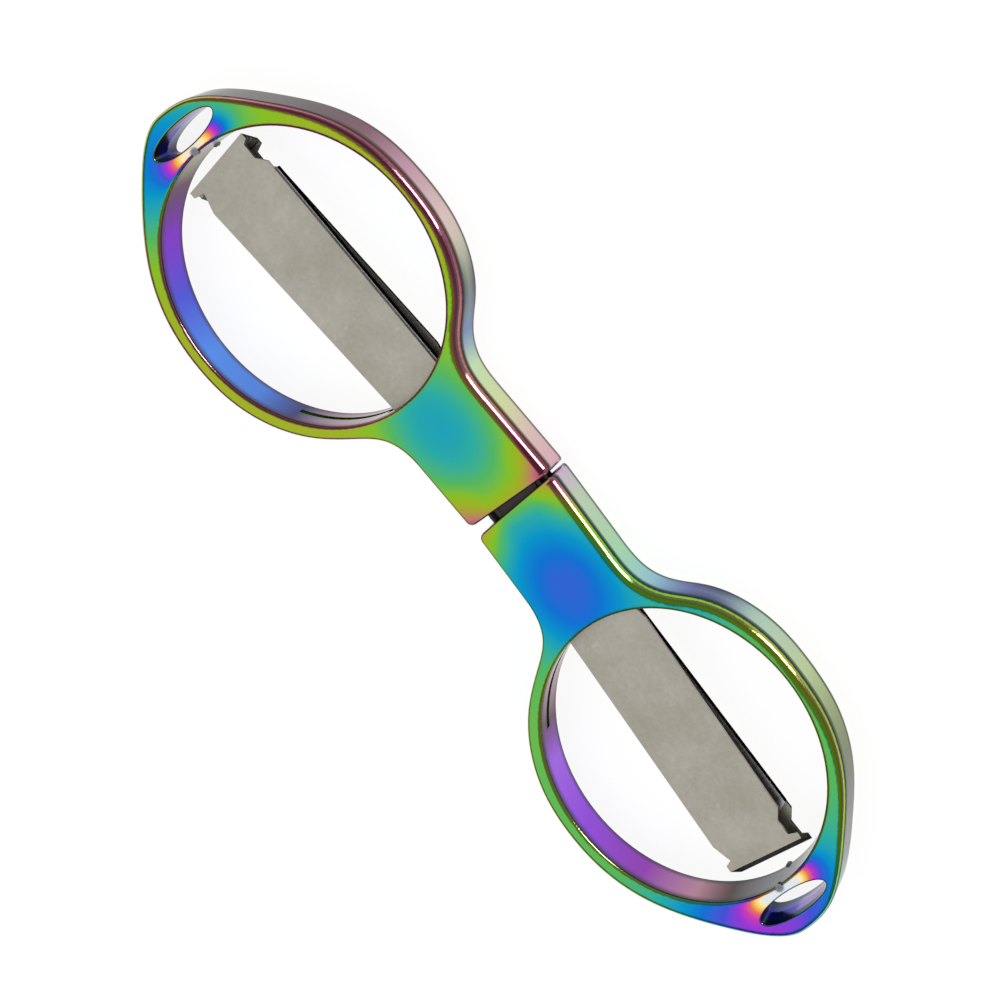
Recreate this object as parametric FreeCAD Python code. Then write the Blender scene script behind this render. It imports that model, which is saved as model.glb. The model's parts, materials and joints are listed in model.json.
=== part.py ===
"""Folding telescoping scissors, folded flat: two loop handles end to end on two sheet steel arms.

Each half is drawn once in its own frame: +X outwards from the pivot, +Y the side that closes
when the scissors are opened, +Z the front. The right half lies as drawn, and the left half is
the same parts turned half a turn about Y. Units are millimetres.
"""
import FreeCAD
import Part
import math
import os

from FreeCAD import Vector

# handle, in the handle's own frame
HANDLE_HEIGHT = 5.4
HANDLE_BEND = -2.0          # degrees that each handle droops from a straight line
NECK_HALF_WIDTH = 4.05
NECK_END = 0.30             # pivot to neck end face, on the axis
NECK_END_SLANT = 4.5        # degrees that the end face leans back on the -Y side
NECK_CORNER = 0.5           # corner radius of the neck's end, seen from the front
NECK_STRAIGHT = 7.0         # where the neck's sides start to flare into the loop
HANDLE_TIP = (41.4, -1.9)   # outermost point of the loop
OUTER_POSITIVE_Y = [(10.8, 4.42), (12.5, 5.4), (14.5, 7.45), (17.1, 9.2), (20.5, 10.3),
                    (24.4, 10.6), (28.6, 10.2), (32.9, 8.5), (36.8, 5.55), (39.5, 3.0),
                    (40.85, 1.05)]
OUTER_NEGATIVE_Y = [(10.2, -4.85), (12.0, -6.8), (14.2, -9.4), (17.2, -11.5), (20.8, -12.75),
                    (24.4, -13.05), (28.6, -12.55), (32.5, -11.05), (35.8, -8.8), (38.6, -6.3),
                    (40.65, -3.95)]
OPENING_CENTRE = (24.3, -1.25)
OPENING_HALF_WIDTH = 10.75
OPENING_NEAR = 12.8         # centre to the neck side of the finger opening
OPENING_FAR = 12.85         # centre to the eye side of the finger opening
EYE_CENTRE = (38.95, -1.05)
EYE_WIDTH = 1.8
EYE_LENGTH = 6.1
EYE_DRAFT = 0.12            # how much wider the eye is at each face than at mid-height
NUB_RADIUS = 0.3            # small casting pip beside the bridge, one at each face
NUB_HEIGHT = 0.55
NUB_INSET = 0.14            # its axis lies this far behind the opening's wall
FILLET_NECK = 1.0           # rounding of the rim on the +Y side
FILLET_LOOP = 0.5           # at the outermost point of the loop
FILLET_SHARP = 0.18         # on the -Y side
FILLET_OPENING = 0.3        # edges of the finger opening
FILLET_EYE = 0.15           # edges of the lanyard eye

# sheet steel arm, in the arm's own frame, which droops more than the handle
ARM_BEND = -3.8
ARM_HALF_HEIGHT = 1.10
SHEET = 0.35
ARM_START = 4.6             # where the sheet plates begin, outside the pivot's washers
WIDE_END = 34.85            # far end of the front plate
NARROW_END = 35.75          # far end of the back plate; the end wall slants between the two
END_SKEW = 0.0875           # the far end leans outwards on the +Y side, mm per mm
WIDE_EDGES = (-3.3, 3.1)
NARROW_EDGES_NEAR = (-2.66, 2.5)
NARROW_EDGES_FAR = (-2.96, 3.4)
ARM_CLOSING_SLOPE = 0.23    # edge line that lets the two arms close beside each other
RELIEF_LENGTH = 2.2         # corner relief next to the end wall
RELIEF_DEPTH = 0.55
RELIEF_LEAN = 0.25          # the relief's outer side leans back this far
RELIEF_SLOPE = (0.9, 0.1)   # run and extra depth of the relief's near side at the +Y edge
PLATE_OVERHANG = 1.0        # outline runs on past the end wall, which then trims it
EAR_HALF_WIDTH = 3.3
EAR_LENGTH = 0.55

# tunnel for the arm and slit for the other arm's blade, cut in the handle
TUNNEL_EDGES = (-3.4, 3.62)
TUNNEL_HALF_HEIGHT = 1.16
SLIT_LOW = -0.06
SLIT_HIGH = 0.80
SLIT_END = 16.6
CUT_START = -4.0            # both cuts begin outside the neck's end face
TUNNEL_END = 16.0

# blade: tang under the arm's back plate, blade nested in the other arm
BLADE_FACE = 0.02           # half the gap between the two blades
TANG_DEPTH = 0.75           # inner face of the arm's back plate
BLADE_DEPTH = 0.70          # the blade is ground a little thinner than the tang
ROOT_RADIUS = 3.0
BLADE_REACH = 21.0
TANG_END = 33.4
TANG_EDGE = -2.3
TANG_PROUD = 0.15           # how far the tang shows beyond the back plate's +Y edge
TANG_CORNER = 1.2           # length of the bevelled corner at the tang's far end
TANG_CORNER_LOW = 1.0       # where that corner meets the end edge
TANG_SHOULDER = (1.0, 1.5)  # before and after the start of the back plate's +Y edge
TANG_ROOT = (2.4, 1.2)      # where the tang meets the root disc, along and across
BLADE_SPINE = [(-2.0, 1.9), (6.0, 1.75), (12.0, 1.1), (17.0, -0.4)]
SPINE_END_DIRECTION = (0.75, -0.66)
EDGE_AT_ROOT = -2.4         # cutting edge, in the other arm's frame
EDGE_AT_TIP = -3.0
EDGE_FLAT = 0.1             # height of the bevel's foot above the blades' meeting plane
BEVEL_WIDTH = 0.9
BEVEL_START = 4.5           # from the pivot to the near end of the bevel

# pivot and rivets
PIVOT_RADIUS = 1.2
RUNNING_CLEARANCE = 0.04
HEAD_RADIUS = 1.9
HEAD_FACE = 1.08
WASHER_RADIUS = 2.3
WASHER_THICKNESS = 0.1
WASHER_BORE_CLEARANCE = 0.02
WASHER_ROOM = 0.3           # space round each washer in the blade's root
HEAD_ROUNDING = 0.12
TANG_RIVET_RADIUS = 0.8
TANG_RIVET_RECESS = 0.03    # the rivet's inner end lies this far below the tang's face
TANG_RIVET_PLACES = {"inner": (6.4, -0.5), "outer": (9.8, -0.3)}

UP = Vector(0, 0, 1)
CENTRE = Vector(0, 0, 0)


def turned(shape, degrees, axis=UP):
    """A copy of the shape turned about an axis through the pivot."""
    copy = shape.copy()
    copy.rotate(CENTRE, axis, degrees)
    return copy


def flat(points, z=0.0):
    """Points of a plan drawing as vectors at one height."""
    return [Vector(x, y, z) for x, y in points]


def prism(points, low, high):
    """A closed polygon given height."""
    loop = flat(points, low)
    face = Part.Face(Part.makePolygon(loop + [loop[0]]))
    return face.extrude(UP * (high - low))


def spline(points, start_tangent, end_tangent):
    """A smooth edge through the points, with set directions at its ends."""
    curve = Part.BSplineCurve()
    curve.interpolate(Points=flat(points), InitialTangent=Vector(*start_tangent, 0),
                      FinalTangent=Vector(*end_tangent, 0), Scale=False)
    return curve.toShape()


def line(a, b):
    """A straight edge between two plan points."""
    return Part.LineSegment(Vector(*a, 0), Vector(*b, 0)).toShape()


def arc(a, middle, b):
    """A circular edge through three plan points."""
    return Part.Arc(Vector(*a, 0), Vector(*middle, 0), Vector(*b, 0)).toShape()


def neck_end_x(y):
    """The neck's slanted end face, in plan."""
    return NECK_END - y * math.tan(math.radians(NECK_END_SLANT))


def handle_outline():
    """Plan of the handle: square neck end, neck sides and the loop, as one closed wire."""
    w = NECK_HALF_WIDTH
    r = NECK_CORNER
    bulge = r * (1 - math.sqrt(0.5))
    top = neck_end_x(w)
    bottom = neck_end_x(-w)
    edges = [
        line((neck_end_x(-w + r), -w + r), (neck_end_x(w - r), w - r)),
        arc((neck_end_x(w - r), w - r), (top + bulge, w - bulge), (top + r, w)),
        line((top + r, w), (NECK_STRAIGHT, w)),
        spline([(NECK_STRAIGHT, w)] + OUTER_POSITIVE_Y + [HANDLE_TIP], (1, 0), (0, -1)),
        spline([HANDLE_TIP] + OUTER_NEGATIVE_Y[::-1] + [(NECK_STRAIGHT, -w)], (0, -1), (-1, 0)),
        line((NECK_STRAIGHT, -w), (bottom + r, -w)),
        arc((bottom + r, -w), (bottom + bulge, -w + bulge), (neck_end_x(-w + r), -w + r)),
    ]
    return Part.Wire(Part.__sortEdges__(edges))


def half_ellipse(centre, along, across, side):
    """Half an ellipse about the centre, on the +X (side 1) or -X (side -1) side."""
    x, y = centre
    long_axis = (x + side * along, y)
    if along >= across:
        curve = Part.Ellipse(Vector(*long_axis, 0), Vector(x, y + across, 0), Vector(x, y, 0))
    else:
        curve = Part.Ellipse(Vector(x, y + across, 0), Vector(*long_axis, 0), Vector(x, y, 0))
    whole = curve.toShape()
    block = Part.makeBox(2 * along, 4 * across, 2,
                         Vector(x if side > 0 else x - 2 * along, y - 2 * across, -1))
    return whole.common(block).Edges


def opening_wire():
    """The egg-shaped finger opening."""
    edges = half_ellipse(OPENING_CENTRE, OPENING_NEAR, OPENING_HALF_WIDTH, -1)
    edges += half_ellipse(OPENING_CENTRE, OPENING_FAR, OPENING_HALF_WIDTH, 1)
    return Part.Wire(Part.__sortEdges__(edges))


def oval_wire(centre, width, length, z):
    """An ellipse at one height, long along Y."""
    x, y = centre
    curve = Part.Ellipse(Vector(x, y + length / 2, z), Vector(x + width / 2, y, z),
                         Vector(x, y, z))
    return Part.Wire(curve.toShape())


def eye_cutter():
    """The lanyard eye, as two cutters: an oval hole that opens a little towards each face."""
    half = HANDLE_HEIGHT / 2
    over = 0.1
    wide = 2 * EYE_DRAFT * (half + over) / half
    middle = oval_wire(EYE_CENTRE, EYE_WIDTH, EYE_LENGTH, 0)
    cutters = []
    for z in (half + over, -half - over):
        face = oval_wire(EYE_CENTRE, EYE_WIDTH + wide, EYE_LENGTH + wide, z)
        cutters.append(Part.makeLoft([middle, face], True, True))
    return cutters


def rim_radius(point):
    """Edge radius around the handle: round on the +Y side, easing to sharp on the -Y side."""
    if point.x > HANDLE_TIP[0] - 0.1:
        return FILLET_LOOP
    on_round_side = point.y > NECK_HALF_WIDTH - 0.05
    return FILLET_NECK if on_round_side else FILLET_SHARP


def rounded_rim(solid):
    """The solid with the edges of its front and back faces rounded by rim_radius."""
    radii = []
    for number, edge in enumerate(solid.Edges, start=1):
        ends = [edge.valueAt(edge.FirstParameter), edge.valueAt(edge.LastParameter)]
        if abs(ends[0].z - ends[1].z) < 1e-6:
            radii.append((number, rim_radius(ends[0]), rim_radius(ends[1])))
    document = FreeCAD.newDocument("rounding")
    plain = document.addObject("Part::Feature", "plain")
    plain.Shape = solid
    fillet = document.addObject("Part::Fillet", "fillet")
    fillet.Base = plain
    fillet.Edges = radii
    document.recompute()
    rounded = fillet.Shape.copy()
    FreeCAD.closeDocument(document.Name)
    return rounded


def face_edges(solid, low_x, high_x):
    """Edges lying in the front and back faces with their middles between two x values."""
    found = []
    for edge in solid.Edges:
        middle = edge.valueAt((edge.FirstParameter + edge.LastParameter) / 2)
        ends = [edge.valueAt(edge.FirstParameter), edge.valueAt(edge.LastParameter)]
        level = all(abs(abs(p.z) - HANDLE_HEIGHT / 2) < 1e-6 for p in ends + [middle])
        if level and low_x < middle.x < high_x:
            found.append(edge)
    return found


def new_edges(solid, old, low_x, high_x):
    """Face edges that the last cut added: none of them lies on an edge of the old solid."""
    before = [edge.CenterOfMass for edge in face_edges(old, low_x, high_x)]
    return [edge for edge in face_edges(solid, low_x, high_x)
            if all(edge.CenterOfMass.distanceToPoint(point) > 0.01 for point in before)]


def handle():
    """Die-cast handle, with the arm's tunnel and the slit that the other blade passes."""
    half = HANDLE_HEIGHT / 2
    face = Part.Face(handle_outline())
    face.translate(Vector(0, 0, -half))
    body = face.extrude(UP * HANDLE_HEIGHT)
    body = rounded_rim(body)

    hole = Part.Face(opening_wire())
    hole.translate(Vector(0, 0, -half))
    plain = body
    body = plain.cut(hole.extrude(UP * HANDLE_HEIGHT))
    body = body.makeFillet(FILLET_OPENING, new_edges(body, plain, 0, 40))
    plain = body
    for cutter in eye_cutter():
        body = body.cut(cutter)
    body = body.makeFillet(FILLET_EYE, new_edges(body, plain, 30, 45))
    x, y = OPENING_CENTRE
    for low in (-half, half - NUB_HEIGHT):
        nub = Part.makeCylinder(NUB_RADIUS, NUB_HEIGHT, Vector(x + OPENING_FAR + NUB_INSET, y, low))
        body = body.fuse(nub)

    low, high = TUNNEL_EDGES
    tunnel = Part.makeBox(TUNNEL_END - CUT_START, high - low, 2 * TUNNEL_HALF_HEIGHT,
                          Vector(CUT_START, low, -TUNNEL_HALF_HEIGHT))
    body = body.cut(turned(tunnel, ARM_BEND - HANDLE_BEND))
    deep = 20.0
    slit = Part.makeBox(SLIT_END - CUT_START, deep, SLIT_HIGH - SLIT_LOW,
                        Vector(CUT_START, -deep, SLIT_LOW))
    body = body.cut(slit)
    return turned(body.removeSplitter(), HANDLE_BEND)


def end_x(plate_end, y):
    """The skewed far end of an arm plate."""
    return plate_end + END_SKEW * y


def plate_plan(plate_end, near, far):
    """Plan of one arm plate: edges, closing line, corner reliefs and the end wall's ears."""
    low_near, high_near = near
    low_far, high_far = far
    ear = EAR_HALF_WIDTH
    ear_start = plate_end - EAR_LENGTH
    over = plate_end + PLATE_OVERHANG
    relief = ear_start - RELIEF_LENGTH
    run, extra = RELIEF_SLOPE
    join = high_near / ARM_CLOSING_SLOPE
    return [
        (ARM_START, low_near),
        (relief, low_far),
        (end_x(ear_start, low_far) - RELIEF_LEAN, low_far + RELIEF_DEPTH),
        (end_x(ear_start, -ear), -ear),
        (end_x(over, -ear), -ear),
        (end_x(over, ear), ear),
        (end_x(ear_start, ear), ear),
        (end_x(ear_start, high_far) - RELIEF_LEAN, high_far - RELIEF_DEPTH),
        (relief + run, high_far - RELIEF_DEPTH - extra),
        (relief, high_far),
        (join, high_near),
        (ARM_START, ARM_START * ARM_CLOSING_SLOPE),
    ]


def guard():
    """Sheet arm: front plate, slanted end wall and back plate, bent from one strip."""
    h = ARM_HALF_HEIGHT
    t = SHEET
    near = ARM_START - 2
    outer = [(near, h), (WIDE_END, h), (NARROW_END, -h), (near, -h)]
    inner = [(near - 1, t - h), (NARROW_END - 1.1 * t, t - h), (WIDE_END - 0.9 * t, h - t),
             (near - 1, h - t)]
    width = 2 * EAR_HALF_WIDTH + 1

    def strip(profile):
        loop = [Vector(end_x(x, -width / 2), -width / 2, z) for x, z in profile]
        face = Part.Face(Part.makePolygon(loop + [loop[0]]))
        return face.extrude(Vector(END_SKEW * width, width, 0))

    # the strip starts well inside, and the plates' outlines trim its leaning near end square
    bent = strip(outer).cut(strip(inner))
    front = prism(plate_plan(WIDE_END, WIDE_EDGES, WIDE_EDGES), 0, h + 1)
    back = prism(plate_plan(NARROW_END, NARROW_EDGES_NEAR, NARROW_EDGES_FAR), -h - 1, 0)
    plan = front.fuse(back)
    arm = bent.common(plan)
    for place in TANG_RIVET_PLACES.values():
        arm = arm.cut(tang_rivet_blank(place))
    return turned(arm, ARM_BEND)


def tang_rivet_blank(place):
    """A flush rivet through the back plate and the tang, in the arm's frame."""
    x, y = place
    bottom = -ARM_HALF_HEIGHT
    return Part.makeCylinder(TANG_RIVET_RADIUS, ARM_HALF_HEIGHT - BLADE_FACE - TANG_RIVET_RECESS,
                             Vector(x, y, bottom))


def narrow_high_edge(x):
    """The back plate's +Y edge, which the tang follows."""
    near_x = NARROW_EDGES_NEAR[1] / ARM_CLOSING_SLOPE
    far_x = NARROW_END - EAR_LENGTH - RELIEF_LENGTH
    share = (x - near_x) / (far_x - near_x)
    return NARROW_EDGES_NEAR[1] + share * (NARROW_EDGES_FAR[1] - NARROW_EDGES_NEAR[1])


def blade():
    """Tang, root disc and blade in one piece of plate, with a cutting bevel."""
    near_x = NARROW_EDGES_NEAR[1] / ARM_CLOSING_SLOPE
    before, after = near_x - TANG_SHOULDER[0], near_x + TANG_SHOULDER[1]
    corner = TANG_END - TANG_CORNER
    tang = prism([
        (0, TANG_EDGE),
        (TANG_END, TANG_EDGE),
        (TANG_END, TANG_CORNER_LOW),
        (corner, narrow_high_edge(corner) + TANG_PROUD),
        (after, narrow_high_edge(after) + TANG_PROUD),
        (before, ARM_CLOSING_SLOPE * before),
        (ARM_START, ARM_CLOSING_SLOPE * ARM_START),
        TANG_ROOT,
        (0, TANG_ROOT[1]),
    ], -TANG_DEPTH, -BLADE_FACE)
    tang = turned(tang, ARM_BEND)
    disc = Part.makeCylinder(ROOT_RADIUS, BLADE_DEPTH - BLADE_FACE, Vector(0, 0, -BLADE_DEPTH))

    # the blade is drawn in the other arm's frame, with x counted outwards along that arm
    tip = math.sqrt(BLADE_REACH ** 2 - EDGE_AT_TIP ** 2)
    edges = [
        spline(BLADE_SPINE + [(tip, EDGE_AT_TIP)], (1, 0), SPINE_END_DIRECTION),
        line((tip, EDGE_AT_TIP), (0, EDGE_AT_ROOT)),
        line((0, EDGE_AT_ROOT), BLADE_SPINE[0]),
    ]
    knife = Part.Face(Part.Wire(Part.__sortEdges__(edges)))
    knife.translate(Vector(0, 0, BLADE_FACE))
    knife = knife.extrude(UP * (BLADE_DEPTH - BLADE_FACE))
    outside = EDGE_AT_ROOT - 1
    inside = EDGE_AT_ROOT + BEVEL_WIDTH
    above = BLADE_DEPTH + 0.4
    section = [(outside, EDGE_FLAT), (EDGE_AT_ROOT, EDGE_FLAT), (inside, BLADE_DEPTH + 0.01),
               (inside, above), (outside, above), (outside, EDGE_FLAT)]
    bevel = Part.Face(Part.makePolygon([Vector(BEVEL_START, y, z) for y, z in section]))
    bevel = bevel.extrude(Vector(BLADE_REACH + 5, 0, 0))
    slope = math.degrees(math.atan2(EDGE_AT_TIP - EDGE_AT_ROOT, tip))
    bevel.rotate(Vector(0, EDGE_AT_ROOT, 0), UP, slope)
    knife = turned(knife.cut(bevel), ARM_BEND)
    knife.rotate(CENTRE, Vector(0, 1, 0), 180)

    whole = tang.fuse([disc, knife])
    whole = whole.cut(Part.makeCylinder(WASHER_RADIUS + WASHER_ROOM, 1, Vector(0, 0, -BLADE_DEPTH - 1)))
    hole = Part.makeCylinder(PIVOT_RADIUS + RUNNING_CLEARANCE, 2, Vector(0, 0, -1.5))
    whole = whole.cut(hole)
    for place in TANG_RIVET_PLACES.values():
        whole = whole.cut(turned(tang_rivet_blank(place), ARM_BEND))
    return whole.removeSplitter()


def pivot_rivet():
    """Shank with a low domed head each side, inside the height of the neck tunnel."""
    seat = BLADE_DEPTH + WASHER_THICKNESS + BLADE_FACE
    shank = Part.makeCylinder(PIVOT_RADIUS, 2 * seat, Vector(0, 0, -seat))
    head = Part.makeCylinder(HEAD_RADIUS, HEAD_FACE - seat, Vector(0, 0, seat))
    rim = [edge for edge in head.Edges if abs(edge.CenterOfMass.z - HEAD_FACE) < 1e-6]
    head = head.makeFillet(HEAD_ROUNDING, rim)
    return shank.fuse([head, turned(head, 180, Vector(0, 1, 0))]).removeSplitter()


def washer(side):
    """Shim between a rivet head and a blade, on the front (1) or the back (-1)."""
    low = BLADE_DEPTH + BLADE_FACE / 2
    disc = Part.makeCylinder(WASHER_RADIUS, WASHER_THICKNESS, Vector(0, 0, low))
    bore = Part.makeCylinder(PIVOT_RADIUS + WASHER_BORE_CLEARANCE, 1, Vector(0, 0, low - 0.2))
    disc = disc.cut(bore)
    return disc if side > 0 else turned(disc, 180, Vector(0, 1, 0))


def both_halves(name, shape):
    """The right half's piece as drawn, and the left half's turned about Y."""
    return {
        f"right_{name}": shape,
        f"left_{name}": turned(shape, 180, Vector(0, 1, 0)),
    }


def build():
    """Every piece by its name, in place about the pivot."""
    parts = {}
    parts.update(both_halves("handle", handle()))
    parts.update(both_halves("guard", guard()))
    parts.update(both_halves("blade", blade()))
    for name, place in TANG_RIVET_PLACES.items():
        rivet = turned(tang_rivet_blank(place), ARM_BEND)
        parts.update(both_halves(f"{name}_tang_rivet", rivet))
    parts["pivot_rivet"] = pivot_rivet()
    parts["front_pivot_washer"] = washer(1)
    parts["back_pivot_washer"] = washer(-1)
    return parts


def main():
    """Move the origin to the middle of the underside and write one file for each piece."""
    parts = build()
    box = FreeCAD.BoundBox()
    for side in ("left", "right"):
        box.add(parts[f"{side}_handle"].optimalBoundingBox(False, False))
    shift = Vector(-box.Center.x, -box.Center.y, -box.ZMin)
    os.makedirs("parts", exist_ok=True)
    for name, shape in parts.items():
        shape.translate(shift)
        shape.exportStep(f"parts/{name}.step")
        print(name, shape.isValid(), len(shape.Solids), round(shape.Volume, 3))
    print("size", round(box.XLength, 3), round(box.YLength, 3), round(box.ZLength, 3))
    print("pivot at", [round(value, 4) for value in shift])


main()
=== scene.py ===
"""Looks of the folded pocket scissors: rainbow-coated die-cast handles on sheet steel arms."""

import json
import math
import bpy
from mathutils import Matrix, Vector


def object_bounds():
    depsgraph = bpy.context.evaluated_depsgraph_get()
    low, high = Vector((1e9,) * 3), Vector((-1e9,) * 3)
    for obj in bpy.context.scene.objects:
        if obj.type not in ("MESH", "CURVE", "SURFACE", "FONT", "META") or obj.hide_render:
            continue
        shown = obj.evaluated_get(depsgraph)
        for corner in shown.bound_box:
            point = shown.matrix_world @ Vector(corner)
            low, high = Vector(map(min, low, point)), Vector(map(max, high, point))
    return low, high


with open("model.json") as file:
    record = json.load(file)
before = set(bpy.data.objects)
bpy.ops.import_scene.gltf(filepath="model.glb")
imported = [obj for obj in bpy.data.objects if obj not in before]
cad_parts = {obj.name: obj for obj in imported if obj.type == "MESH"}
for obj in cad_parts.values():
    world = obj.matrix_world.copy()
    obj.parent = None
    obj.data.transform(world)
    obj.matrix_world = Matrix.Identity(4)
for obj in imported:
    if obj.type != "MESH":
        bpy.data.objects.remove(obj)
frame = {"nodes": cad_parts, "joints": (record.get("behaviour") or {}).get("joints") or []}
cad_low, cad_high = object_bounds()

MM = 0.001

# ---------------------------------------------------------------- places on the object, millimetres
PIVOT_Y = frame["joints"][0]["pos_m"][1] / MM
HANDLE_HEIGHT = (cad_high.z - cad_low.z) / MM
HANDLE_BEND = 2.0           # degrees that each handle droops from a straight line
OPENING = (24.3, -1.25)     # middle of the finger opening, from the pivot, along and across the handle
OPENING_RADII = (12.8, 10.75)
EYE = (38.95, -1.05)        # middle of the lanyard eye
BRIDGE = (37.45, -1.05)     # the narrow land between opening and eye
PIP = (37.29, -1.25)        # casting pip at the bridge
HANDLE_REACH = 41.4         # from the pivot to the tip

# ---------------------------------------------------------------- camera
TARGET = Vector((-0.70, 0.44, 2.7)) * MM
CAMERA_AZIMUTH = -6.0       # degrees from +Y towards +X
CAMERA_ELEVATION = 69.8
CAMERA_ROLL = 52.3
CAMERA_DISTANCE = 270.0     # millimetres
LENS = 121.7                # on a 36 mm sensor
CLIP_START = 0.01           # metres

# ---------------------------------------------------------------- studio
KEY_ELEVATION = 17.5        # low softbox on the +Y side: it draws the line along the rounded edge
KEY_DISTANCE = 0.9          # metres
KEY_SIZE = (0.30, 0.34)
KEY_RADIANCE = 6.0
SHADE_SECTOR = 0.22         # brightness of the unlit wall behind the key light
FLOOR_GLOW = 0.88           # the floor's own light keeps it nearly white
FLOOR_WHITE = 0.30
FLOOR_SIZE = 3.0
FLOOR_GAP = 0.02            # millimetres below the object

# ---------------------------------------------------------------- film on the handles' flat faces
# middle along and across the handle, radii, sharpness of the edge, change in thickness
FILM_PATCHES = [
    ((8.2, -0.6), (6.8, 4.7), 2.6, -0.21),      # middle of the neck
    ((15.0, 6.4), (4.5, 3.4), 2.0, -0.07),      # where the neck flares into the loop
    (BRIDGE, (1.5, 2.9), 2.4, -0.50),           # the bridge, rubbed thin
]
TOE = (39.4, -4.2)          # the patch round the eye, as deep as each handle says
TOE_RADII = (7.0, 8.2)
DRIFT = 0.05                # slow wander of the thickness
PIP_RADIUS = 0.42

# The height of a face's normal runs from 0 on a wall to 1 on the front and back. Each pair says
# where a change in colour starts and ends.
RIM = (0.995, 0.90)
# this pair and the next bound the band where a pale tint paints the highlight on the rounded edges
HIGHLIGHT_TOP = (0.78, 0.72)
HIGHLIGHT_FOOT = (0.56, 0.61)
WALL = (0.46, 0.34)
# this pair and the next bound a painted dark shade line on the rounded edges
SHADE_LINE_TOP = (0.40, 0.28)
SHADE_LINE_FOOT = (0.10, 0.20)

# ---------------------------------------------------------------- colours of the painted highlight and of painted shade on edges, in hollows and on the steel
# pale tint for the painted highlight on the rounded edges
PAINTED_HIGHLIGHT_TINT = (240, 232, 226)
PIP_GREY = (120, 124, 132)
# painted shade in the hollow between neck and loop
HOLLOW_SHADE_NAVY = (30, 34, 66)
# black for the painted shade on the arms' and blades' upright faces and round the pivot
PAINTED_SHADE_BLACK = (8, 8, 8)
# painted shade on the arms' end walls
END_WALL_SHADE_GREY = (96, 98, 92)
END_WALL_PLACE = (33.6, 34.2)
# dark colours of the painted shade: lines on the rounded edges and darkening of the walls towards the
# faces
LEFT_SHADE_LINE = (70, 56, 40)
RIGHT_SHADE_LINE = (34, 62, 50)
BLACK_SHADE_TOP = 2.7             # painted black shade fills the lower half of the arms' height


def srgb(red, green, blue):
    """Linear colour from the usual 0 to 255 values."""
    def linear(value):
        value /= 255
        return value / 12.92 if value <= 0.04045 else ((value + 0.055) / 1.055) ** 2.4
    return (linear(red), linear(green), linear(blue), 1.0)


class Graph:
    """Short calls for making shader nodes; those that work something out return its socket."""

    def __init__(self, tree):
        self.tree = tree
        tree.nodes.clear()

    def node(self, kind, **settings):
        node = self.tree.nodes.new(kind)
        for key, value in settings.items():
            setattr(node, key, value)
        return node

    def put(self, value, socket):
        """Link a socket, or set a constant."""
        if isinstance(value, bpy.types.NodeSocket):
            self.tree.links.new(value, socket)
        else:
            socket.default_value = value

    def math(self, operation, *values):
        node = self.node("ShaderNodeMath", operation=operation)
        for value, socket in zip(values, node.inputs):
            self.put(value, socket)
        return node.outputs[0]

    def add(self, *values):
        total = values[0]
        for value in values[1:]:
            total = self.math("ADD", total, value)
        return total

    def times(self, *values):
        total = values[0]
        for value in values[1:]:
            total = self.math("MULTIPLY", total, value)
        return total

    def minus(self, first, second):
        return self.math("SUBTRACT", first, second)

    def step(self, value, start, end, low=0.0, high=1.0):
        """Smooth step from low to high as value goes from start to end."""
        node = self.node("ShaderNodeMapRange", interpolation_type="SMOOTHSTEP")
        for item, name in zip((value, start, end, low, high),
                              ("Value", "From Min", "From Max", "To Min", "To Max")):
            self.put(item, node.inputs[name])
        return node.outputs["Result"]

    def bump_field(self, x, y, centre, radii, power=2.0):
        """1 at the centre, 0.37 on the ellipse with these radii, falling to 0 beyond it."""
        across = self.math("DIVIDE", self.minus(x, centre[0]), radii[0])
        along = self.math("DIVIDE", self.minus(y, centre[1]), radii[1])
        square = self.add(self.times(across, across), self.times(along, along))
        return self.math("EXPONENT", self.times(self.math("POWER", square, power / 2), -1.0))

    def ramp(self, value, stops):
        """Colour looked up from stops of (position, colour)."""
        node = self.node("ShaderNodeValToRGB")
        ramp = node.color_ramp
        while len(ramp.elements) < len(stops):
            ramp.elements.new(1.0)
        for element, (position, colour) in zip(ramp.elements, stops):
            element.position = position
            element.color = colour
        self.put(value, node.inputs[0])
        return node.outputs[0]

    def mix(self, factor, first, second):
        """Colour that goes from first to second as factor goes from 0 to 1."""
        node = self.node("ShaderNodeMix", data_type="RGBA")
        self.put(factor, node.inputs[0])
        self.put(first, node.inputs[6])
        self.put(second, node.inputs[7])
        return node.outputs[2]

    def noise(self, vector, scale, detail=4.0, roughness=0.5):
        node = self.node("ShaderNodeTexNoise")
        self.put(vector, node.inputs["Vector"])
        self.put(scale, node.inputs["Scale"])
        self.put(detail, node.inputs["Detail"])
        self.put(roughness, node.inputs["Roughness"])
        return node.outputs[0]

    def bump(self, height, strength, distance):
        node = self.node("ShaderNodeBump")
        self.put(strength, node.inputs["Strength"])
        self.put(distance, node.inputs["Distance"])
        self.put(height, node.inputs["Height"])
        return node.outputs[0]

    def surface(self, **inputs):
        """The material's shader, with its inputs named by keyword."""
        shader = self.node("ShaderNodeBsdfPrincipled")
        for name, value in inputs.items():
            self.put(value, shader.inputs[name.replace("_", " ")])
        output = self.node("ShaderNodeOutputMaterial")
        self.tree.links.new(shader.outputs[0], output.inputs["Surface"])


# how much of its light a metal keeps where it is seen nearly edge-on
COAT_GRAZING_TINT = (0.62, 0.62, 0.64, 1.0)
STEEL_GRAZING_TINT = (0.30, 0.30, 0.30, 1.0)


def new_material(name):
    """An empty material and the graph that fills it."""
    material = bpy.data.materials.new(name)
    material.use_nodes = True
    return material, Graph(material.node_tree)


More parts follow.
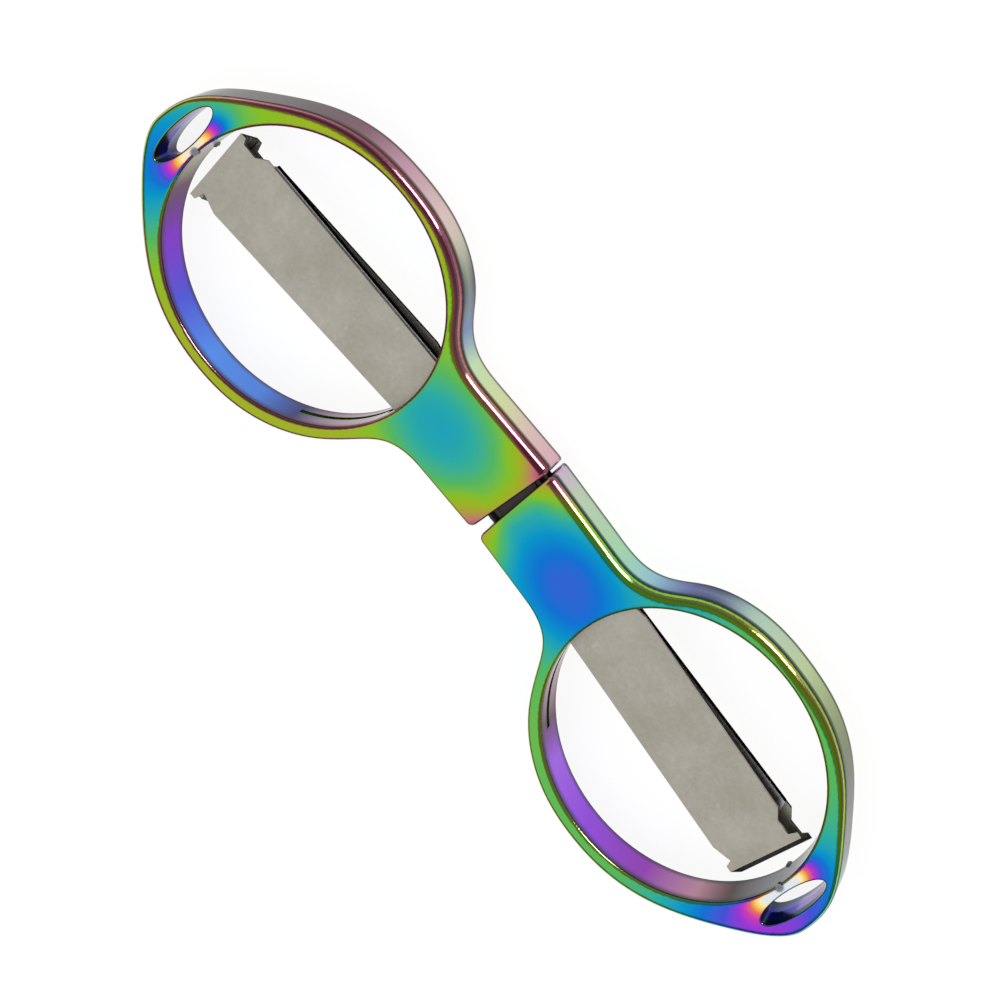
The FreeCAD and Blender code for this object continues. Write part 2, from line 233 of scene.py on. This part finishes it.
# ---------------------------------------------------------------- the rainbow coat
# Colours of the oxide film as it thickens, for light that meets it squarely.
FILM_COLOURS = [
    (0.00, srgb(226, 232, 240)),
    (0.08, srgb(250, 236, 170)),
    (0.15, srgb(244, 190, 70)),
    (0.21, srgb(226, 110, 96)),
    (0.27, srgb(208, 62, 176)),
    (0.33, srgb(150, 55, 212)),
    (0.39, srgb(72, 78, 214)),
    (0.45, srgb(18, 112, 210)),
    (0.51, srgb(10, 150, 200)),
    (0.57, srgb(46, 172, 160)),
    (0.63, srgb(84, 182, 96)),
    (0.69, srgb(132, 190, 40)),
    (0.76, srgb(160, 176, 40)),
    (0.82, srgb(176, 150, 70)),
    (0.88, srgb(190, 118, 112)),
    (0.94, srgb(168, 80, 108)),
    (1.00, srgb(140, 58, 86)),
]

EYE_WALL = [
    (0.00, srgb(24, 40, 130)),
    (0.25, srgb(60, 60, 190)),
    (0.40, srgb(90, 80, 200)),
    (0.55, srgb(150, 150, 235)),
    (0.80, srgb(180, 165, 235)),
    (1.00, srgb(190, 150, 220)),
]

# The film on the walls, which light leaves at a low angle, along the handle from the pivot to the tip.
RIGHT_OUTER_WALL = [
    (0.00, srgb(220, 190, 220)),
    (0.07, srgb(204, 224, 190)),
    (0.20, srgb(176, 232, 184)),
    (0.28, srgb(160, 214, 230)),
    (0.34, srgb(130, 140, 220)),
    (0.44, srgb(190, 222, 206)),
    (0.58, srgb(206, 226, 166)),
    (0.74, srgb(140, 154, 84)),
    (0.84, srgb(64, 80, 40)),
    (1.00, srgb(50, 60, 72)),
]
LEFT_OUTER_WALL = [
    (0.00, srgb(240, 184, 200)),
    (0.08, srgb(238, 206, 198)),
    (0.16, srgb(226, 236, 172)),
    (0.25, srgb(214, 244, 194)),
    (0.31, srgb(140, 170, 224)),
    (0.38, srgb(214, 226, 182)),
    (0.50, srgb(240, 214, 206)),
    (0.62, srgb(212, 162, 182)),
    (0.72, srgb(140, 86, 102)),
    (0.82, srgb(70, 46, 42)),
    (1.00, srgb(64, 70, 30)),
]
RIGHT_INNER_WALL = [
    (0.26, srgb(236, 226, 214)),
    (0.33, srgb(206, 150, 170)),
    (0.39, srgb(110, 50, 96)),
    (0.46, srgb(178, 104, 250)),
    (0.60, srgb(154, 78, 230)),
    (0.74, srgb(152, 68, 184)),
    (0.83, srgb(190, 140, 160)),
    (0.87, srgb(84, 66, 60)),
    (0.905, srgb(140, 146, 146)),
    (1.00, srgb(200, 204, 200)),
]
LEFT_INNER_WALL = [
    (0.26, srgb(232, 236, 222)),
    (0.33, srgb(204, 170, 180)),
    (0.40, srgb(50, 50, 120)),
    (0.48, srgb(84, 140, 236)),
    (0.60, srgb(90, 150, 246)),
    (0.72, srgb(84, 90, 226)),
    (0.82, srgb(140, 44, 214)),
    (0.88, srgb(96, 40, 70)),
    (0.905, srgb(196, 196, 130)),
    (0.95, srgb(214, 226, 222)),
    (1.00, srgb(220, 222, 190)),
]


def handle_place(g, point, side):
    """Position along and across the handle, in millimetres from the pivot."""
    out = g.times(point.outputs["X"], side / MM)
    up = g.minus(g.times(point.outputs["Y"], 1 / MM), PIVOT_Y)
    cosine, sine = math.cos(math.radians(HANDLE_BEND)), math.sin(math.radians(HANDLE_BEND))
    x = g.minus(g.times(out, cosine), g.times(up, sine))
    y = g.add(g.times(out, sine), g.times(up, cosine))
    return x, y


def flat_film(g, place, x, y, base, toe_depth):
    """Thickness of the film over the flat faces: thinner in patches, thicker at the neck's end."""
    film = g.add(base, g.times(g.minus(g.noise(place, 90.0, 2.0), 0.5), DRIFT))
    film = g.add(film, g.times(g.bump_field(x, y, TOE, TOE_RADII), -toe_depth))
    for centre, radii, sharpness, change in FILM_PATCHES:
        film = g.add(film, g.times(g.bump_field(x, y, centre, radii, sharpness), change))
    corner = g.times(g.step(x, 5.0, 0.2), g.step(g.math("ABSOLUTE", y), 1.0, 4.0), 0.15)
    end = g.times(g.step(x, 1.9, 0.3), 0.06)
    return g.add(film, corner, end)


def wall_colour(g, x, y, height, upright, walls, painted_shade_colour):
    """Colour of the walls outside the loop and neck, inside the finger opening and inside the eye."""
    outer_wall, inner_wall, eye_wall = walls
    along = g.math("DIVIDE", x, HANDLE_REACH)
    in_opening = g.step(g.bump_field(x, y, OPENING, OPENING_RADII), 0.325, 0.345)
    outside = g.minus(1.0, in_opening)
    in_eye = g.step(g.bump_field(x, y, EYE, (1.5, 3.7)), 0.36, 0.40)
    colour = g.mix(in_opening, g.ramp(along, outer_wall), g.ramp(along, inner_wall))
    eye_place = g.step(y, EYE[1] - 3.0, EYE[1] + 2.0)
    colour = g.mix(in_eye, colour, g.ramp(eye_place, eye_wall))

    # painted shade: darker towards the faces, navy in the hollow between neck and loop, and a dark line at
    # the edge
    middle = (cad_low.z + cad_high.z) / 2
    toward_face = g.times(g.math("ABSOLUTE", g.minus(height, middle)), 2 / (HANDLE_HEIGHT * MM))
    inner_shade = g.times(g.step(toward_face, 0.50, 0.92), in_opening, 0.8)
    outer_shade = g.times(g.step(toward_face, 0.44, 0.64), outside, 0.9)
    colour = g.mix(g.add(inner_shade, outer_shade), colour, painted_shade_colour)
    hollow = g.times(g.bump_field(x, toward_face, (15.2, 1.0), (2.4, 1.3)), outside)
    colour = g.mix(g.times(hollow, 0.95), colour, srgb(*HOLLOW_SHADE_NAVY))
    # painted shade: a dark line where the rounded edges meet the walls
    line = g.times(g.step(upright, *SHADE_LINE_FOOT), g.step(upright, *SHADE_LINE_TOP))
    return g.mix(line, colour, painted_shade_colour)


def rainbow_coat(name, side, base, toe_depth, edge_shift, walls, painted_shade_colour):
    """Polished die casting under a coloured film; side is +1 on the right handle, -1 on the left one."""
    material, g = new_material(name)
    coordinates = g.node("ShaderNodeTexCoord")
    place = coordinates.outputs["Object"]
    point = g.node("ShaderNodeSeparateXYZ")
    g.put(place, point.inputs[0])
    facing = g.node("ShaderNodeSeparateXYZ")
    g.put(coordinates.outputs["Normal"], facing.inputs[0])
    upright = g.math("ABSOLUTE", facing.outputs["Z"])
    x, y = handle_place(g, point, side)

    # on the rounded edges the light leaves at an angle, and the colour moves on
    film = g.add(flat_film(g, place, x, y, base, toe_depth), g.step(upright, *RIM, 0.0, edge_shift))
    face = g.ramp(g.math("MAXIMUM", film, 0.0), FILM_COLOURS)
    # painted highlight: a pale tint on the band of the rounded edge where the low softbox reflects
    painted_highlight = g.times(g.step(upright, *HIGHLIGHT_TOP), g.step(upright, *HIGHLIGHT_FOOT), 0.35)
    face = g.mix(painted_highlight, face, srgb(*PAINTED_HIGHLIGHT_TINT))
    face = g.mix(g.bump_field(x, y, PIP, (PIP_RADIUS, PIP_RADIUS), 6.0), face, srgb(*PIP_GREY))
    wall = wall_colour(g, x, y, point.outputs["Z"], upright, walls, painted_shade_colour)
    colour = g.mix(g.step(upright, *WALL), face, wall)

    grain = g.noise(place, 2600.0, 3.0, 0.6)
    smear = g.noise(place, 240.0, 3.0, 0.55)
    roughness = g.add(0.09, g.times(smear, 0.07))
    height = g.add(g.times(grain, 0.4), g.times(smear, 0.6))
    g.surface(Base_Color=colour, Metallic=1.0, Roughness=roughness, Specular_Tint=COAT_GRAZING_TINT,
              Normal=g.bump(height, 0.05, 0.02 * MM))
    return material


# ---------------------------------------------------------------- bare steel
def pivot_shade(g, place):
    """1 where dark shade is painted round the pivot, fading out past the blades' root discs."""
    point = g.node("ShaderNodeSeparateXYZ")
    g.put(place, point.inputs[0])
    across = g.minus(point.outputs["Y"], PIVOT_Y * MM)
    square = g.add(g.times(point.outputs["X"], point.outputs["X"]), g.times(across, across))
    return g.step(g.math("SQRT", square), 4.2 * MM, 2.6 * MM)


def upright_faces(g, low, high):
    """1 on faces that stand upright between two heights of the object, else 0."""
    coordinates = g.node("ShaderNodeTexCoord")
    facing = g.node("ShaderNodeSeparateXYZ")
    g.put(coordinates.outputs["Normal"], facing.inputs[0])
    point = g.node("ShaderNodeSeparateXYZ")
    g.put(coordinates.outputs["Object"], point.inputs[0])
    upright = g.step(g.math("ABSOLUTE", facing.outputs["Z"]), 0.6, 0.4)
    height = point.outputs["Z"]
    return g.times(upright, g.math("GREATER_THAN", height, low), g.math("LESS_THAN", height, high))


def sheet_steel(name):
    """Tumbled cold-rolled sheet: warm grey, matte, faintly clouded, with black painted shade round the
    pivot and on the lower upright faces, and grey painted shade on the end walls.
    """
    material, g = new_material(name)
    place = g.node("ShaderNodeTexCoord").outputs["Object"]
    cloud = g.noise(place, 260.0, 5.0, 0.62)
    fine = g.noise(place, 2400.0, 4.0, 0.7)
    speck = g.step(g.noise(place, 900.0, 2.0, 0.5), 0.70, 0.78)
    tone = g.add(g.times(cloud, 0.7), g.times(fine, 0.3))
    colour = g.ramp(tone, [
        (0.30, srgb(176, 172, 158)),
        (0.46, srgb(190, 186, 173)),
        (0.56, srgb(200, 196, 184)),
        (0.72, srgb(216, 212, 202)),
    ])
    colour = g.mix(g.times(speck, 0.25), colour, srgb(232, 230, 224))
    # painted shade: black round the pivot and on the upright faces of the lower half
    painted_shade = g.math("MAXIMUM", pivot_shade(g, place), upright_faces(g, 0.0, BLACK_SHADE_TOP * MM))
    colour = g.mix(g.times(painted_shade, 0.99), colour, srgb(*PAINTED_SHADE_BLACK))
    # painted shade: darker grey on the upright end walls of the arms
    point = g.node("ShaderNodeSeparateXYZ")
    g.put(place, point.inputs[0])
    at_end = g.step(g.math("ABSOLUTE", point.outputs["X"]), END_WALL_PLACE[0] * MM, END_WALL_PLACE[1] * MM)
    end_wall_shade = g.times(at_end, upright_faces(g, 0.0, HANDLE_HEIGHT * MM))
    colour = g.mix(g.times(end_wall_shade, 0.9), colour, srgb(*END_WALL_SHADE_GREY))
    roughness = g.add(0.38, g.times(cloud, 0.16))
    height = g.add(g.times(cloud, 0.5), fine)
    g.surface(Base_Color=colour, Metallic=1.0, Roughness=roughness, Specular_Tint=STEEL_GRAZING_TINT,
              Normal=g.bump(height, 0.12, 0.03 * MM))
    return material


def ground_steel(name):
    """Blade stock: flat faces ground across their length, black painted shade on the upright edges and
    round the pivot.
    """
    material, g = new_material(name)
    place = g.node("ShaderNodeTexCoord").outputs["Object"]
    stretch = g.node("ShaderNodeMapping")
    stretch.inputs["Scale"].default_value = (4200.0, 260.0, 1500.0)
    g.put(place, stretch.inputs["Vector"])
    scratch = g.noise(stretch.outputs[0], 1.0, 3.0, 0.6)
    colour = g.ramp(scratch, [(0.3, srgb(166, 168, 170)), (0.7, srgb(208, 210, 212))])
    # painted shade: black on the upright edges and round the pivot
    scale = g.math("MAXIMUM", pivot_shade(g, place), upright_faces(g, 0.0, HANDLE_HEIGHT * MM))
    colour = g.mix(g.times(scale, 0.99), colour, srgb(*PAINTED_SHADE_BLACK))
    roughness = g.add(0.22, g.times(scratch, 0.18))
    g.surface(Base_Color=colour, Metallic=1.0, Roughness=roughness, Specular_Tint=STEEL_GRAZING_TINT,
              Normal=g.bump(scratch, 0.2, 0.02 * MM))
    return material


def turned_steel(name):
    """Rivets and washers: bright, with a little wear, and painted dark shade round the pivot."""
    material, g = new_material(name)
    place = g.node("ShaderNodeTexCoord").outputs["Object"]
    wear = g.noise(place, 700.0, 4.0, 0.6)
    colour = g.ramp(wear, [(0.3, srgb(150, 148, 144)), (0.7, srgb(206, 204, 198))])
    # painted shade: dark round the pivot
    colour = g.mix(g.times(pivot_shade(g, place), 0.9), colour, srgb(30, 28, 28))
    roughness = g.add(0.24, g.times(wear, 0.2))
    g.surface(Base_Color=colour, Metallic=1.0, Roughness=roughness, Normal=g.bump(wear, 0.15, 0.02 * MM))
    return material


def dress_nodes():
    """Each CAD node takes the material of its slot."""
    left_walls = (LEFT_OUTER_WALL, LEFT_INNER_WALL, EYE_WALL)
    right_walls = (RIGHT_OUTER_WALL, RIGHT_INNER_WALL, EYE_WALL)
    materials = {
        "left_rainbow_coat": rainbow_coat("left_rainbow_coat_look", -1.0, 0.76, 0.29, 0.22,
                                          left_walls, srgb(*LEFT_SHADE_LINE)),
        "right_rainbow_coat": rainbow_coat("right_rainbow_coat_look", 1.0, 0.64, 0.31, 0.13,
                                           right_walls, srgb(*RIGHT_SHADE_LINE)),
        "guard_steel": sheet_steel("guard_steel_look"),
        "blade_steel": ground_steel("blade_steel_look"),
        "rivet_steel": turned_steel("rivet_steel_look"),
    }
    for node in frame["nodes"].values():
        for slot in node.material_slots:
            slot.material = materials[slot.material.name]


# ---------------------------------------------------------------- camera, light and floor
def direction(azimuth, elevation):
    """Unit vector, azimuth in degrees from +Y towards +X."""
    turn, rise = math.radians(azimuth), math.radians(elevation)
    return Vector((math.cos(rise) * math.sin(turn), math.cos(rise) * math.cos(turn), math.sin(rise)))


def add_camera():
    """The front view, from its azimuth, elevation, roll and distance round the target."""
    toward = direction(CAMERA_AZIMUTH, CAMERA_ELEVATION)
    up = (Vector((0, 1, 0)) - toward * toward.y).normalized()
    right = up.cross(toward)
    roll = math.radians(CAMERA_ROLL)
    x_axis = math.cos(roll) * right + math.sin(roll) * up
    y_axis = math.cos(roll) * up - math.sin(roll) * right
    data = bpy.data.cameras.new("camera")
    data.lens = LENS
    data.clip_start = CLIP_START
    camera = bpy.data.objects.new("camera", data)
    turn = Matrix((x_axis, y_axis, toward)).transposed().to_4x4()
    camera.matrix_world = Matrix.Translation(TARGET + toward * CAMERA_DISTANCE * MM) @ turn
    bpy.context.scene.collection.objects.link(camera)
    bpy.context.scene.camera = camera


def add_world():
    """Soft studio: bright overhead, dim towards +Y, white where the camera looks past the floor."""
    world = bpy.data.worlds.new("studio")
    bpy.context.scene.world = world
    world.use_nodes = True
    g = Graph(world.node_tree)
    place = g.node("ShaderNodeTexCoord")
    ray = g.node("ShaderNodeSeparateXYZ")
    g.put(place.outputs["Generated"], ray.inputs[0])
    height = ray.outputs["Z"]
    dome = g.ramp(height, [
        (0.00, (0.30, 0.30, 0.30, 1)),
        (0.20, (0.10, 0.10, 0.10, 1)),
        (0.50, (0.16, 0.16, 0.16, 1)),
        (0.72, (0.70, 0.70, 0.70, 1)),
        (0.86, (1.00, 1.00, 1.00, 1)),
    ])
    shade = g.times(g.step(ray.outputs["Y"], -0.12, 0.02), g.step(height, 1.0, 0.985))
    dome = g.mix(g.times(shade, 0.90), dome, (SHADE_SECTOR, SHADE_SECTOR, SHADE_SECTOR, 1))
    light_path = g.node("ShaderNodeLightPath")
    seen = g.mix(light_path.outputs["Is Camera Ray"], dome, (1, 1, 1, 1))
    background = g.node("ShaderNodeBackground")
    g.put(seen, background.inputs["Color"])
    output = g.node("ShaderNodeOutputWorld")
    g.tree.links.new(background.outputs[0], output.inputs["Surface"])


def add_lights():
    """One low softbox on the +Y side."""
    toward = direction(0.0, KEY_ELEVATION)
    data = bpy.data.lights.new("key_strip", "AREA")
    data.shape = "RECTANGLE"
    data.size, data.size_y = KEY_SIZE
    data.energy = KEY_RADIANCE * math.pi * KEY_SIZE[0] * KEY_SIZE[1]
    light = bpy.data.objects.new("key_strip", data)
    light.location = toward * KEY_DISTANCE
    light.rotation_euler = toward.to_track_quat("Z", "Y").to_euler()
    light.visible_camera = False
    bpy.context.scene.collection.objects.link(light)


def add_floor():
    """A plain pale floor just under the object."""
    half = FLOOR_SIZE / 2
    mesh = bpy.data.meshes.new("floor")
    corners = [(-half, -half, 0), (half, -half, 0), (half, half, 0), (-half, half, 0)]
    mesh.from_pydata(corners, [], [(0, 1, 2, 3)])
    floor = bpy.data.objects.new("floor", mesh)
    floor.location.z = cad_low.z - FLOOR_GAP * MM
    bpy.context.scene.collection.objects.link(floor)
    material, g = new_material("floor_white")
    g.surface(Base_Color=(FLOOR_WHITE,) * 3 + (1.0,), Roughness=0.8, Emission_Color=(1, 1, 1, 1),
              Emission_Strength=FLOOR_GLOW)
    mesh.materials.append(material)


dress_nodes()
add_camera()
add_world()
add_lights()
add_floor()
bpy.context.scene.view_settings.view_transform = "Standard"
